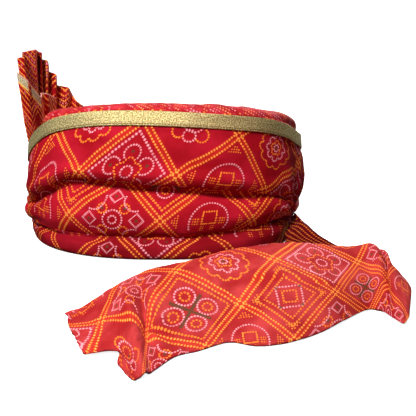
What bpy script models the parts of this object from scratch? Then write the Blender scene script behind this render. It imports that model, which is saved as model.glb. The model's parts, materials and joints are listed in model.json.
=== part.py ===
"""A ready-tied turban (pagri): three wound wraps, gold ribbon, rim, crown, pleated fan and tail."""

import math

import bpy
import bmesh
import numpy as np
from mathutils import Vector

# Driving dimensions in metres. X is the long way of the head opening, -Y the shown side
head_length = 0.200
head_width = 0.160
end_wall = 0.040        # thickness of the wound cloth at the two ends
side_wall = 0.041       # and on the two long sides
side_height = 0.134     # floor to the ribbon's top edge on the shown side
wrap_dip = 0.005        # how far each wrap laps down over the one below
ribbon_width = 0.013
ribbon_edge = 0.0012    # cloth left bare above the ribbon
ribbon_thickness = 0.0009
rim_sink = 0.006        # depth of the trough in which the rim roll lies
crown_drop = 0.008      # crown's edge below the trough
crown_height = 0.112    # top of the crown's soft dome
cloth = 0.0020          # thickness of a single sewn layer
gap = 0.0003
plan_power = 2.3        # 2 would be an ellipse, more is squarer
pinch_depth = 0.009     # wraps drawn in where the tail leaves
pinch_azimuth = -14.0   # degrees, the middle of that place
pinch_spread = 15.0     # degrees
pinch_level = 0.14      # its height and its reach up, as shares of side_height
pinch_reach = 0.16

fan_height = 0.100      # tallest pleat above the trough's floor
fan_lean = 0.012        # tips stand this far out over their seat
pleat_depth = 0.0045    # half depth of the pleats at their tips
fan_bow = 0.0025        # pleats bow out this far just over the wrap's lip
pleat_gather = 0.0014   # half depth of all pleats where they are tucked in
pleat_clear = 0.0007    # pleats' foot above the trough's floor

tail_span = 0.254       # cut end to turned end, across the front
tail_overhang = 0.056   # turned end beyond the wraps
tail_gap = 0.085        # wraps to the tail's crest
tail_reach = 0.160      # crest to the furthest front edge
tail_crest = 0.038      # height of the crest
tail_back = 0.044       # run of the slope behind the crest
cut_wave = 0.016        # depth of the lobes and of the bite at the cut end
root_gather = 0.0030    # depth of the gathers where the tail leaves the wraps
face_swell = 0.10       # tail's face stands over its chord by this share of the crest
shoulder_run = 0.45     # place of the shoulder behind the crest, share of the back slope
shoulder_swell = 0.22   # and how far it stands over the slope, share of its fall

# Faces round the rings and across the sheets
ring_stations = 52
tail_rows = 46
tail_columns = 15
tail_points = 5         # points given for each of the tail's rows

# Heights round the turban: azimuth in degrees (-90 is the shown side, 180 the fan's end),
# then the tops of the wraps and of the rim as shares of side_height
height_columns = ("azimuth", "lower", "middle", "upper", "rim")
height_table = (
    (-180, 0.100, 0.245, 0.610, 0.720),
    (-166, 0.130, 0.225, 0.665, 0.800),
    (-152, 0.165, 0.345, 0.800, 0.915),
    (-140, 0.160, 0.450, 0.905, 0.965),
    (-128, 0.172, 0.525, 0.962, 0.990),
    (-115, 0.175, 0.525, 0.992, 1.008),
    (-100, 0.178, 0.502, 1.000, 1.020),
    (-80, 0.175, 0.488, 0.990, 1.016),
    (-62, 0.195, 0.455, 0.966, 1.006),
    (-45, 0.210, 0.418, 0.927, 0.978),
    (-32, 0.205, 0.370, 0.868, 0.940),
    (-20, 0.180, 0.290, 0.785, 0.905),
    (-8, 0.160, 0.240, 0.730, 0.850),
    (12, 0.165, 0.255, 0.660, 0.755),
    (35, 0.175, 0.330, 0.670, 0.750),
    (60, 0.180, 0.400, 0.710, 0.785),
    (90, 0.180, 0.430, 0.745, 0.815),
    (120, 0.180, 0.420, 0.725, 0.800),
    (150, 0.160, 0.345, 0.665, 0.750),
)

# Seam between two wraps, inside to crease: shares of end_wall and side_wall
seam_rows = ((0.0, 0.0), (0.45, 0.45), (0.84, 0.84))

# Outer faces, bottom to top: shares of end_wall, of side_wall and of the face's own height
lower_face = ((0.83, 1.06, 0.12), (0.87, 1.08, 0.36), (0.88, 1.05, 0.62), (0.87, 0.96, 0.86))
middle_face = ((0.95, 0.95, 0.08), (1.00, 1.02, 0.30), (1.00, 1.02, 0.60), (0.95, 0.96, 0.86))
upper_face = (
    (0.93, 0.91, -0.01),
    (0.985, 0.955, 0.10),
    (1.00, 0.970, 0.30),
    (0.98, 0.955, 0.56),
    (0.94, 0.915, 0.82),
)
lower_foot = ((0.0, 0.0), (0.38, 0.43), (0.75, 0.97))    # flat underside
ribbon_seat = ((0.890, 0.870, 0.0), (0.875, 0.860, 0.5), (0.860, 0.850, 1.0))
trough_lip = (0.835, 0.825)
trough_foot = (0.800, 0.790)

# Rim roll's section: shares of end_wall, of side_wall and of its own height
rim_section = (
    (0.06, 0.06, 0.00), (0.62, 0.62, 0.00), (0.72, 0.71, 0.34), (0.72, 0.65, 0.76),
    (0.48, 0.45, 1.00), (0.20, 0.20, 0.90), (0.06, 0.06, 0.45),
)
rim_narrow = 0.55       # rim's width left beside the fan, as a share
fan_from, fan_to = 137.0, 198.0    # degrees round the end that the fan takes up
fan_fade = 14.0         # degrees over which the rim widens again beside it
fan_margin = 0.04       # share of that left free at each end of the pleats' foot

# Crown, edge to middle: share of the way out, share of the edge's height kept
crown_rings = (1.0, 0.86, 0.64, 0.38)

# Pleats from foot to tip: share of the way up, share of fan_bow
pleat_rings = ((0.0, 0.0), (0.12, 1.0), (0.38, 0.9), (0.68, 0.5), (1.0, 0.0))

# Folds of the two layers of pleats: share of the way round from the front, tip's height as a
# share of fan_height, which way the fold stands (1 in, -1 out, 0 flat), and where it stands in
# the trough, as a share of the walls
tall_folds = (
    (0.199, 0.83, -1, 0.69), (0.215, 0.84, 0.5, 0.69), (0.375, 0.87, -1, 0.69),
    (0.481, 0.89, 1, 0.69), (0.603, 0.86, -0.4, 0.69), (0.575, 0.85, 1, 0.69),
    (0.670, 0.77, -1, 0.69), (0.640, 0.77, 1, 0.69), (0.724, 0.64, -1, 0.69),
    (0.721, 0.62, 1, 0.69), (0.786, 0.49, -1, 0.69), (0.838, 0.47, 1, 0.69),
    (0.908, 0.38, -0.5, 0.69), (0.894, 0.32, 1, 0.69), (0.995, 0.24, 0, 0.69),
)
short_folds = (
    (0.066, 0.72, -1, 0.72), (0.075, 0.63, 0.65, 0.68), (0.100, 0.58, 0.2, 0.60),
    (0.205, 0.45, 1, 0.50), (0.389, 0.47, -0.2, 0.48), (0.429, 0.46, 0.8, 0.48),
    (0.635, 0.38, 0, 0.48),
)

# Tail's upper layer, cut end to turned end. Crest: share of tail_span, of tail_gap from the
# wraps, of tail_crest. Front edge: share of tail_span, of tail_reach, of tail_crest.
# Back edge: share of tail_back behind the crest, of tail_crest
tail_table = (
    # crest: along, out, up; front: along, out, up; back: run, up
    (-0.005, 1.66, 0.04, 0.175, 0.930, 0.03, 0.10, 0.03),
    (0.040, 1.66, 0.14, 0.205, 1.000, 0.03, 0.20, 0.05),
    (0.090, 1.57, 0.31, 0.230, 1.020, 0.03, 0.40, 0.05),
    (0.205, 1.27, 0.52, 0.262, 0.960, 0.03, 0.80, 0.05),
    (0.290, 1.18, 0.64, 0.315, 0.800, 0.03, 0.95, 0.05),
    (0.370, 1.12, 0.76, 0.376, 0.740, 0.03, 1.00, 0.05),
    (0.460, 1.00, 0.84, 0.455, 0.650, 0.03, 1.00, 0.05),
    (0.551, 0.95, 0.89, 0.530, 0.700, 0.03, 1.00, 0.05),
    (0.646, 0.94, 0.94, 0.612, 0.665, 0.03, 1.00, 0.16),
    (0.736, 0.95, 0.93, 0.705, 0.555, 0.03, 1.00, 0.24),
    (0.815, 0.97, 0.92, 0.788, 0.395, 0.03, 1.00, 0.24),
    (0.886, 0.98, 0.99, 0.866, 0.262, 0.04, 0.90, 0.24),
    (0.930, 1.03, 0.95, 0.904, 0.290, 0.05, 0.70, 0.24),
    (0.945, 1.24, 0.74, 0.925, 0.390, 0.06, 0.45, 0.26),
    (0.972, 1.30, 0.58, 0.948, 0.450, 0.05, 0.30, 0.26),
    (0.990, 1.40, 0.34, 0.975, 0.380, 0.12, 0.15, 0.22),
)
# Tail's under layer, turned end back to the wraps, in the same columns
under_table = (
    (0.975, 1.36, 0.06, 0.950, 0.330, 0.04, 0.10, 0.05),
    (0.950, 0.93, 0.04, 0.820, 0.180, 0.04, 0.15, 0.04),
    (0.930, 0.34, 0.04, 0.740, -0.130, 0.04, 0.15, 0.04),
    (0.915, -0.13, 0.04, 0.680, -0.480, 0.04, 0.10, 0.04),
    (0.868, -0.39, 0.05, 0.670, -0.690, 0.05, 0.06, 0.05),
    (0.800, -0.51, 0.26, 0.672, -0.770, 0.06, 0.04, 0.26),
    (0.752, -0.64, 0.48, 0.690, -0.815, 0.16, 0.02, 0.48),
)
root_far = (-19.0, 0.190)     # azimuth and height where the tail leaves: far edge
root_near = (-32.0, 0.090)    # and near edge, heights as shares of side_height

# Shape of the cut end, two lobes with a bite between them: share of the way from crest to
# front edge, then pushes along and across the tail as shares of cut_wave
cut_table = (
    (0.00, 0.00, 0.00), (0.28, -0.32, 0.06), (0.46, -0.38, -0.50), (0.57, -0.24, -1.00),
    (0.64, 0.15, -0.20), (0.71, 0.42, 0.60), (0.80, 0.60, 0.40), (0.90, 0.30, -0.15),
    (1.00, 0.35, -0.40),
)
cut_rows = 4            # rows over which that shape fades
root_folds = 3
root_rows = 9           # rows over which the gathers open out

colors = {
    "deep_red": (0.50, 0.012, 0.020),
    "bright_red": (0.62, 0.018, 0.040),
    "dark_red": (0.30, 0.008, 0.014),
    "zari_gold": (0.72, 0.52, 0.16),
}


def clear_scene():
    for item in list(bpy.data.objects):
        bpy.data.objects.remove(item, do_unlink=True)


def material(name, color, roughness, metallic=0.0):
    made = bpy.data.materials.new(name)
    made.use_nodes = True
    shader = made.node_tree.nodes["Principled BSDF"]
    shader.inputs["Base Color"].default_value = (*color, 1.0)
    shader.inputs["Roughness"].default_value = roughness
    shader.inputs["Metallic"].default_value = metallic
    return made


def solid(name, bm, finish):
    """Make one closed object of a bmesh."""
    bmesh.ops.recalc_face_normals(bm, faces=bm.faces)
    mesh = bpy.data.meshes.new(name)
    bm.to_mesh(mesh)
    bm.free()
    mesh.shade_smooth()
    mesh.materials.append(finish)
    made = bpy.data.objects.new(name, mesh)
    bpy.context.collection.objects.link(made)
    return made


def curve_through(points, count):
    """Points evenly spaced in parameter on a smooth curve through the rows given."""
    rows = np.asarray(points, dtype=float)
    tangents = np.gradient(rows, axis=0)
    made = []
    for place in np.linspace(0.0, len(rows) - 1.0, count):
        first = min(int(place), len(rows) - 2)
        t = place - first
        made.append(
            rows[first] * (2 * t**3 - 3 * t**2 + 1)
            + tangents[first] * (t**3 - 2 * t**2 + t)
            + rows[first + 1] * (3 * t**2 - 2 * t**3)
            + tangents[first + 1] * (t**3 - t**2)
        )
    return np.array(made)


def height_at(azimuth, piece):
    """Height of a piece's top at an azimuth in degrees, smoothly round the whole turban."""
    column = height_columns.index(piece)
    stations = [row[0] for row in height_table]
    values = [row[column] for row in height_table]
    count = len(stations)
    turned = (azimuth + 180.0) % 360.0 - 180.0
    first = max(index for index in range(count) if stations[index] <= turned)
    picks = [(first + step) % count for step in (-1, 0, 1, 2)]
    places = [stations[first]]
    for pick in picks[2:]:
        places.append(places[-1] + (stations[pick] - places[-1]) % 360.0)
    before = places[0] - (places[0] - stations[picks[0]]) % 360.0
    span = places[1] - places[0]
    t = (turned - places[0]) / span
    p0, p1, p2, p3 = (values[pick] for pick in picks)
    rise1 = (p2 - p0) / (places[1] - before) * span
    rise2 = (p3 - p1) / (places[2] - places[0]) * span
    share = (
        p1 * (2 * t**3 - 3 * t**2 + 1) + rise1 * (t**3 - 2 * t**2 + t)
        + p2 * (3 * t**2 - 2 * t**3) + rise2 * (t**3 - t**2)
    )
    return share * side_height


def plan_point(azimuth, end_share, side_share, height, out=0.0):
    """A point at an azimuth in degrees on the rounded oval that the shares of the walls give."""
    half_length = head_length / 2 + end_wall * end_share + out
    half_width = head_width / 2 + side_wall * side_share + out
    angle = math.radians(azimuth)
    across = abs(math.cos(angle) / half_length) ** plan_power
    along = abs(math.sin(angle) / half_width) ** plan_power
    radius = (across + along) ** (-1.0 / plan_power)
    return Vector((radius * math.cos(angle), radius * math.sin(angle), height))


def pinch_at(azimuth, height):
    """How far the lower wraps are drawn in beside the tail's root."""
    round_share = math.exp(-(((azimuth - pinch_azimuth) / pinch_spread) ** 2))
    above = height - pinch_level * side_height
    up_share = math.exp(-((above / (pinch_reach * side_height)) ** 2))
    return -pinch_depth * round_share * up_share


def stations():
    return [-180.0 + 360.0 * step / ring_stations for step in range(ring_stations)]


def ring_solid(name, section_at, finish):
    """Join the sections at all azimuths into one closed ring."""
    bm = bmesh.new()
    rows = [[bm.verts.new(point) for point in section_at(azimuth)] for azimuth in stations()]
    for row, following in zip(rows, rows[1:] + rows[:1]):
        for index in range(len(row)):
            after = (index + 1) % len(row)
            a, b, c, d = row[index], row[after], following[after], following[index]
            # Both sides of a seam are split along like diagonals, which keeps its gap even
            if a.co.xy.length < b.co.xy.length:
                bm.faces.new((a, b, c))
                bm.faces.new((a, c, d))
            else:
                bm.faces.new((a, b, d))
                bm.faces.new((b, c, d))
    return solid(name, bm, finish)


def sheet_solid(name, grid, thickness, finish):
    """Give a grid of points a thickness and close its border."""
    grid = np.asarray(grid, dtype=float)
    rows, columns = grid.shape[:2]
    normals = np.cross(np.gradient(grid, axis=0), np.gradient(grid, axis=1))
    normals /= np.linalg.norm(normals, axis=2)[:, :, None]
    bm = bmesh.new()
    sides = []
    for sign in (0.5, -0.5):
        shifted = grid + normals * thickness * sign
        sides.append([[bm.verts.new(point) for point in row] for row in shifted])
    for side in sides:
        for r in range(rows - 1):
            for c in range(columns - 1):
                bm.faces.new((side[r][c], side[r + 1][c], side[r + 1][c + 1], side[r][c + 1]))
    border = [(0, c) for c in range(columns)] + [(r, columns - 1) for r in range(1, rows)]
    border += [(rows - 1, c) for c in range(columns - 2, -1, -1)]
    border += [(r, 0) for r in range(rows - 2, 0, -1)]
    upper, under = sides
    for (r, c), (r2, c2) in zip(border, border[1:] + border[:1]):
        bm.faces.new((upper[r][c], upper[r2][c2], under[r2][c2], under[r][c]))
    return solid(name, bm, finish)


def seam_points(azimuth, piece, shift):
    """The seam above a wrap, inside to crease, moved up or down by half the gap."""
    points = []
    for end_share, side_share in seam_rows:
        height = height_at(azimuth, piece) - wrap_dip * end_share**2 + shift
        out = pinch_at(azimuth, height) * end_share
        points.append(plan_point(azimuth, end_share, side_share, height, out))
    return points


def face_points(azimuth, rows, bottom, top):
    points = []
    for end_share, side_share, up in rows:
        height = bottom + (top - bottom) * up
        out = pinch_at(azimuth, height)
        points.append(plan_point(azimuth, end_share, side_share, height, out))
    return points


def lower_section(azimuth):
    foot = [
        plan_point(azimuth, end_share, side_share, 0.0, pinch_at(azimuth, 0.0) * end_share)
        for end_share, side_share in lower_foot
    ]
    seam = seam_points(azimuth, "lower", -gap / 2)
    return foot + face_points(azimuth, lower_face, 0.0, seam[-1].z) + seam[::-1]


def middle_section(azimuth):
    bottom = seam_points(azimuth, "lower", gap / 2)
    top = seam_points(azimuth, "middle", -gap / 2)
    return bottom + face_points(azimuth, middle_face, bottom[-1].z, top[-1].z) + top[::-1]


def seat_points(azimuth, out):
    """The band on the upper wrap that the ribbon lies on, low edge to high edge."""
    top = height_at(azimuth, "upper") - ribbon_edge
    return [
        plan_point(azimuth, end_share, side_share, top - ribbon_width * (1.0 - up), out)
        for end_share, side_share, up in ribbon_seat
    ]


def upper_section(azimuth):
    bottom = seam_points(azimuth, "middle", gap / 2)
    seat = seat_points(azimuth, 0.0)
    top = height_at(azimuth, "upper")
    face = face_points(azimuth, upper_face, bottom[-1].z, seat[0].z)
    trough = [
        plan_point(azimuth, *trough_lip, top),
        plan_point(azimuth, *trough_foot, top - rim_sink),
        plan_point(azimuth, 0.0, 0.0, top - rim_sink),
    ]
    return bottom + face + seat + trough


def ribbon_section(azimuth):
    return seat_points(azimuth, gap) + seat_points(azimuth, gap + ribbon_thickness)[::-1]


def beside_fan(azimuth):
    """1 beside the fan, 0 away from it, with soft ends."""
    turned = azimuth % 360.0
    rise = min(max((turned - fan_from + fan_fade) / fan_fade, 0.0), 1.0)
    fall = min(max((fan_to + fan_fade - turned) / fan_fade, 0.0), 1.0)
    return min(rise, fall)


def rim_section_at(azimuth):
    floor = height_at(azimuth, "upper") - rim_sink + gap
    top = height_at(azimuth, "rim")
    width = 1.0 - (1.0 - rim_narrow) * beside_fan(azimuth)
    return [
        plan_point(azimuth, end_share * width, side_share * width, floor + (top - floor) * up)
        for end_share, side_share, up in rim_section
    ]


def make_crown(finish):
    """A soft dome across the head opening, saddle-shaped like the wraps' top."""
    bm = bmesh.new()
    sides = []
    for lift in (cloth / 2, -cloth / 2):
        rings = []
        for share in crown_rings:
            ring = []
            for azimuth in stations():
                edge = plan_point(azimuth, 0.0, 0.0, 0.0, -gap)
                level = height_at(azimuth, "upper") - rim_sink - crown_drop
                height = crown_height + (level - crown_height) * share**2 + lift
                ring.append(bm.verts.new((edge.x * share, edge.y * share, height)))
            rings.append(ring)
        middle = bm.verts.new((0.0, 0.0, crown_height + lift))
        sides.append(rings)
        for ring, inner in zip(rings, rings[1:]):
            for index in range(ring_stations):
                after = (index + 1) % ring_stations
                bm.faces.new((ring[index], ring[after], inner[after], inner[index]))
        for index in range(ring_stations):
            bm.faces.new((rings[-1][index], rings[-1][(index + 1) % ring_stations], middle))
    for index in range(ring_stations):
        after = (index + 1) % ring_stations
        upper, under = sides[0][0], sides[1][0]
        bm.faces.new((upper[index], upper[after], under[after], under[index]))
    return solid("crown_cap", bm, finish)


def make_fan(name, folds, finish):
    """A layer of accordion pleats: each fold runs from the trough up to its own tip."""
    tip_base = height_at(fan_to, "upper") - rim_sink
    spread = fan_to - fan_from
    grid = []
    for order, (round_share, tip_up, side, seat_share) in enumerate(folds):
        reach = folds[-1][0] * order / (len(folds) - 1)
        inside = (round_share + reach) / 2
        seat_azimuth = fan_to - spread * (fan_margin + (1.0 - 2 * fan_margin) * inside)
        seat = height_at(seat_azimuth, "upper") - rim_sink + pleat_clear
        base = plan_point(seat_azimuth, seat_share, seat_share, seat, -pleat_gather * side)
        tip_azimuth = fan_to - spread * round_share
        tip_height = tip_base + fan_height * tip_up
        tip_out = fan_lean * tip_up - pleat_depth * side
        tip = plan_point(tip_azimuth, seat_share, seat_share, tip_height, tip_out)
        away = Vector((base.x, base.y, 0.0)).normalized() * fan_bow
        grid.append([base.lerp(tip, up) + away * bow for up, bow in pleat_rings])
    return sheet_solid(name, grid, cloth, finish)


def tail_row(row):
    """Back edge, back slope, crest, face and front edge of one row of the tail."""
    crest_along, crest_out, crest_up, front_along, front_out, front_up, back_run, back_up = row
    end_x = head_length / 2 + end_wall + tail_overhang
    side_y = head_width / 2 + side_wall
    lowest = cloth / 2 + gap
    crest = Vector((
        end_x - tail_span * (1.0 - crest_along),
        -side_y - tail_gap * crest_out,
        max(tail_crest * crest_up, lowest),
    ))
    front = Vector((
        end_x - tail_span * (1.0 - front_along),
        -side_y - tail_gap - tail_reach * front_out,
        max(tail_crest * front_up, lowest),
    ))
    back = Vector((crest.x, crest.y + tail_back * back_run, max(tail_crest * back_up, lowest)))
    face = crest.lerp(front, 0.5)
    face.z += face_swell * crest.z
    shoulder = crest.lerp(back, shoulder_run)
    shoulder.z += shoulder_swell * (crest.z - back.z)
    return [back, shoulder, crest, face, front]


def root_row():
    """The tail's last row, lying against the wraps where it leaves them."""
    out = cloth / 2 + 2 * gap
    far_azimuth, far_up = root_far
    near_azimuth, near_up = root_near
    points = []
    for step in range(tail_points):
        share = step / (tail_points - 1)
        azimuth = far_azimuth + (near_azimuth - far_azimuth) * share
        height = (far_up + (near_up - far_up) * share) * side_height
        reach = pinch_at(azimuth, height) + out
        points.append(plan_point(azimuth, 1.0, 1.02, height, reach))
    return points


def shape_cut_end(grid):
    """Push the cut end's two lobes out and the bite between them in."""
    crest_column = (tail_columns - 1) // 2
    places, along, across = zip(*cut_table)
    for c in range(crest_column, tail_columns):
        share = (c - crest_column) / (tail_columns - 1 - crest_column)
        for r in range(cut_rows):
            fade = cut_wave * (1.0 - r / cut_rows)
            grid[r, c, 0] += fade * np.interp(share, places, along)
            grid[r, c, 1] += fade * np.interp(share, places, across)


def gather_root(grid):
    """Raise soft folds, away from the wraps, that open out down the tail's root."""
    for step in range(root_rows):
        row = grid[tail_rows - 1 - step]
        for c in range(tail_columns):
            wave = 0.5 - 0.5 * math.cos(2 * math.pi * root_folds * c / (tail_columns - 1))
            away = Vector(row[c]).xy.normalized()
            lift = root_gather * (1.0 - step / root_rows) * wave
            row[c] += np.array((away.x * lift, away.y * lift, lift * 0.5))


def make_tail(finish):
    rows = [tail_row(row) for row in tail_table + under_table] + [root_row()]
    drawn = [curve_through(row, tail_columns) for row in rows]
    columns = [curve_through([row[c] for row in drawn], tail_rows) for c in range(tail_columns)]
    grid = np.array(columns).transpose(1, 0, 2)
    shape_cut_end(grid)
    gather_root(grid)
    grid[:, :, 2] = np.maximum(grid[:, :, 2], cloth / 2 + gap)
    return sheet_solid("tail", grid, cloth, finish)


def stand_on_origin(made):
    """Move everything so that the whole part's box stands with its bottom centre at zero."""
    bpy.context.view_layer.update()
    corners = np.array([vertex.co for item in made for vertex in item.data.vertices])
    low, high = corners.min(axis=0), corners.max(axis=0)
    shift = Vector(((low[0] + high[0]) / 2, (low[1] + high[1]) / 2, low[2]))
    for item in made:
        item.location = -shift


def build():
    clear_scene()
    deep = material("deep_red_cloth", colors["deep_red"], 0.75)
    bright = material("bright_red_cloth", colors["bright_red"], 0.75)
    dark = material("dark_red_cloth", colors["dark_red"], 0.80)
    gold = material("gold_ribbon", colors["zari_gold"], 0.35, 0.6)
    made = [
        ring_solid("lower_wrap", lower_section, deep),
        ring_solid("middle_wrap", middle_section, bright),
        ring_solid("upper_wrap", upper_section, deep),
        ring_solid("gold_ribbon", ribbon_section, gold),
        ring_solid("rim_roll", rim_section_at, bright),
        make_crown(dark),
        make_fan("turra_tall_pleats", tall_folds, dark),
        make_fan("turra_short_pleats", short_folds, deep),
        make_tail(bright),
    ]
    stand_on_origin(made)


build()
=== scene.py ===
import json
import math

import bmesh
import bpy
import numpy as np
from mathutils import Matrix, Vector

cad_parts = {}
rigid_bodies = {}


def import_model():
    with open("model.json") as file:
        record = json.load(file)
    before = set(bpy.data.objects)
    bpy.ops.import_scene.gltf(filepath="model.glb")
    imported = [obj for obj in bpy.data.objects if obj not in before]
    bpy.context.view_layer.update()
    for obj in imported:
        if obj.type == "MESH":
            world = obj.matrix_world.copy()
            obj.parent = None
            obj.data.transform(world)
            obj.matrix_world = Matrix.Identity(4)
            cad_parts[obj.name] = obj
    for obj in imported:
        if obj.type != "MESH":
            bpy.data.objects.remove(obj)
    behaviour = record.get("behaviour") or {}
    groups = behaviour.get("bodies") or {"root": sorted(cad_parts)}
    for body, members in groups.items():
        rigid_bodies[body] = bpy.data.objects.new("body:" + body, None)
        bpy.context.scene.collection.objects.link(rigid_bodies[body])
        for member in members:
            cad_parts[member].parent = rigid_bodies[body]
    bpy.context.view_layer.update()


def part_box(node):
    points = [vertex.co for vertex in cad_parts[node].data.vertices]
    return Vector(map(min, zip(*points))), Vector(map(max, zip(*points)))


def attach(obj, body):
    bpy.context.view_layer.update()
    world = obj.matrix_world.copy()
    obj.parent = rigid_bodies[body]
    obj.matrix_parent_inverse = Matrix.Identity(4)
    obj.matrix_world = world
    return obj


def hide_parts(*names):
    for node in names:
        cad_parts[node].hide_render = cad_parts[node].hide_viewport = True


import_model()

# Lengths are in metres and the shown side is -Y; the turban stands under its own ribbon
low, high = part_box("gold_ribbon")
centre = np.array(((low[0] + high[0]) / 2, (low[1] + high[1]) / 2, 0.0))

turban = {
    "headLength": 0.200,
    "headWidth": 0.160,
    "endWall": 0.040,
    "sideWall": 0.041,
    "height": 0.134,
    "lap": 0.005,             # each wrap laps down over the one below
    "planPower": 2.3,
    "gap": 0.0003,
    "pinchDepth": 0.009,      # drawn in where the tail leaves
    "pinchAzimuth": -14.0,
    "pinchSpread": 15.0,
    "pinchLevel": 0.14,
    "pinchReach": 0.16,
    "stations": 420,          # faces round the turban
    "seamAzimuth": -270.0,    # the cloth's own seam, in the middle of the back
}

# Tops of the wraps and of the rim round the turban, as shares of its height
heightColumns = ("azimuth", "lower", "middle", "upper", "rim")
heightTable = np.array((
    (-180, 0.100, 0.245, 0.610, 0.720), (-166, 0.130, 0.225, 0.665, 0.800),
    (-152, 0.165, 0.345, 0.800, 0.915), (-140, 0.160, 0.450, 0.905, 0.965),
    (-128, 0.172, 0.525, 0.962, 0.990), (-115, 0.175, 0.525, 0.992, 1.008),
    (-100, 0.178, 0.502, 1.000, 1.020), (-80, 0.175, 0.488, 0.990, 1.016),
    (-62, 0.195, 0.455, 0.966, 1.006), (-45, 0.210, 0.418, 0.927, 0.978),
    (-32, 0.205, 0.370, 0.868, 0.940), (-20, 0.180, 0.290, 0.785, 0.905),
    (-8, 0.160, 0.240, 0.730, 0.850), (12, 0.165, 0.255, 0.660, 0.755),
    (35, 0.175, 0.330, 0.670, 0.750), (60, 0.180, 0.400, 0.710, 0.785),
    (90, 0.180, 0.430, 0.745, 0.815), (120, 0.180, 0.420, 0.725, 0.800),
    (150, 0.160, 0.345, 0.665, 0.750),
))


def bend(start, startSlope, end, endSlope, t):
    # a smooth step from start to end
    return (start * (2 * t**3 - 3 * t**2 + 1) + startSlope * (t**3 - 2 * t**2 + t)
            + end * (3 * t**2 - 2 * t**3) + endSlope * (t**3 - t**2))


def curveThrough(rows, places):
    # a smooth curve through rows that are evenly spaced in parameter
    rows = np.asarray(rows, float)
    slopes = np.gradient(rows, axis=0)
    first = np.clip(places.astype(int), 0, len(rows) - 2)
    t = (places - first).reshape((-1,) + (1,) * (rows.ndim - 1))
    return bend(rows[first], slopes[first], rows[first + 1], slopes[first + 1], t)


def heightAt(azimuth, piece):
    # top of a piece round the turban, smooth all the way round
    places = heightTable[:, 0]
    values = heightTable[:, heightColumns.index(piece)]
    count = len(places)
    turned = (np.asarray(azimuth, float) + 180.0) % 360.0 - 180.0
    first = np.searchsorted(places, turned, side="right") - 1
    before, after, later = (first - 1) % count, (first + 1) % count, (first + 2) % count
    back = (places[first] - places[before]) % 360.0
    span = (places[after] - places[first]) % 360.0
    ahead = (places[later] - places[after]) % 360.0
    t = (turned - places[first]) / span
    riseHere = (values[after] - values[before]) / (span + back) * span
    riseNext = (values[later] - values[first]) / (span + ahead) * span
    return bend(values[first], riseHere, values[after], riseNext, t) * turban["height"]


def planPoint(azimuth, endShare, sideShare, height, out=0.0):
    # points on the rounded oval that the shares of the wound walls give
    azimuth, height = np.broadcast_arrays(np.asarray(azimuth, float), height)
    halfLength = turban["headLength"] / 2 + turban["endWall"] * endShare + out
    halfWidth = turban["headWidth"] / 2 + turban["sideWall"] * sideShare + out
    angle = np.radians(azimuth)
    power = turban["planPower"]
    across = np.abs(np.cos(angle) / halfLength) ** power
    along = np.abs(np.sin(angle) / halfWidth) ** power
    radius = (across + along) ** (-1.0 / power)
    return np.stack((radius * np.cos(angle), radius * np.sin(angle), height), axis=-1)


def pinchAt(azimuth, height):
    turned = (azimuth + 180.0) % 360.0 - 180.0
    roundShare = np.exp(-(((turned - turban["pinchAzimuth"]) / turban["pinchSpread"]) ** 2))
    above = height - turban["pinchLevel"] * turban["height"]
    upShare = np.exp(-((above / (turban["pinchReach"] * turban["height"])) ** 2))
    return -turban["pinchDepth"] * roundShare * upShare


def ramp(value, start, end):
    share = np.clip((value - start) / (end - start), 0.0, 1.0)
    return share * share * (3.0 - 2.0 * share)


def ripples(seed, u, v, sizes):
    # soft uneven waves from a few sines, the same each run
    draw = np.random.default_rng(seed)
    total = np.zeros(np.broadcast(u, v).shape)
    for length, depth in sizes:
        for wave in range(4):
            turn, phase = draw.uniform(0, math.pi), draw.uniform(0, 2 * math.pi)
            way = (u * math.cos(turn) + v * math.sin(turn)) / length * draw.uniform(0.7, 1.4)
            total += depth / 4 * np.sin(2 * math.pi * way + phase)
    return total


def facing(grid):
    # the way that a grid of points faces
    normals = np.cross(np.gradient(grid, axis=0), np.gradient(grid, axis=1))
    return normals / np.maximum(np.linalg.norm(normals, axis=-1, keepdims=True), 1e-12)


def runLength(grid, axis):
    # length along the rows or columns of a grid, from its first point
    steps = np.linalg.norm(np.diff(grid, axis=axis), axis=-1)
    start = np.zeros_like(np.take(steps, [0], axis=axis))
    return np.concatenate((start, np.cumsum(steps, axis=axis)), axis=axis)


def gridArea(grid):
    across, along = np.diff(grid, axis=0)[:, :-1], np.diff(grid, axis=1)[:-1]
    return float(np.linalg.norm(np.cross(across, along), axis=-1).sum())


def closedSection(points, cuts):
    # a smooth closed line through each station's points, with cuts[i] steps after point i
    spans = np.roll(points, -1, axis=1) - points
    lengths = np.linalg.norm(spans, axis=-1, keepdims=True) + 1e-9
    rates = spans / lengths
    before, rateBefore = np.roll(lengths, 1, axis=1), np.roll(rates, 1, axis=1)
    slopes = (rateBefore * lengths + rates * before) / (lengths + before)
    nextPoints, nextSlopes = np.roll(points, -1, axis=1), np.roll(slopes, -1, axis=1)
    steps = [(index, step / count) for index, count in enumerate(cuts) for step in range(count)]
    made = [bend(points[:, i], slopes[:, i] * lengths[:, i], nextPoints[:, i],
                 nextSlopes[:, i] * lengths[:, i], t) for i, t in steps]
    return np.stack(made, axis=1)


def addObject(name, data):
    made = bpy.data.objects.new(name, data)
    bpy.context.collection.objects.link(made)
    return made


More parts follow.
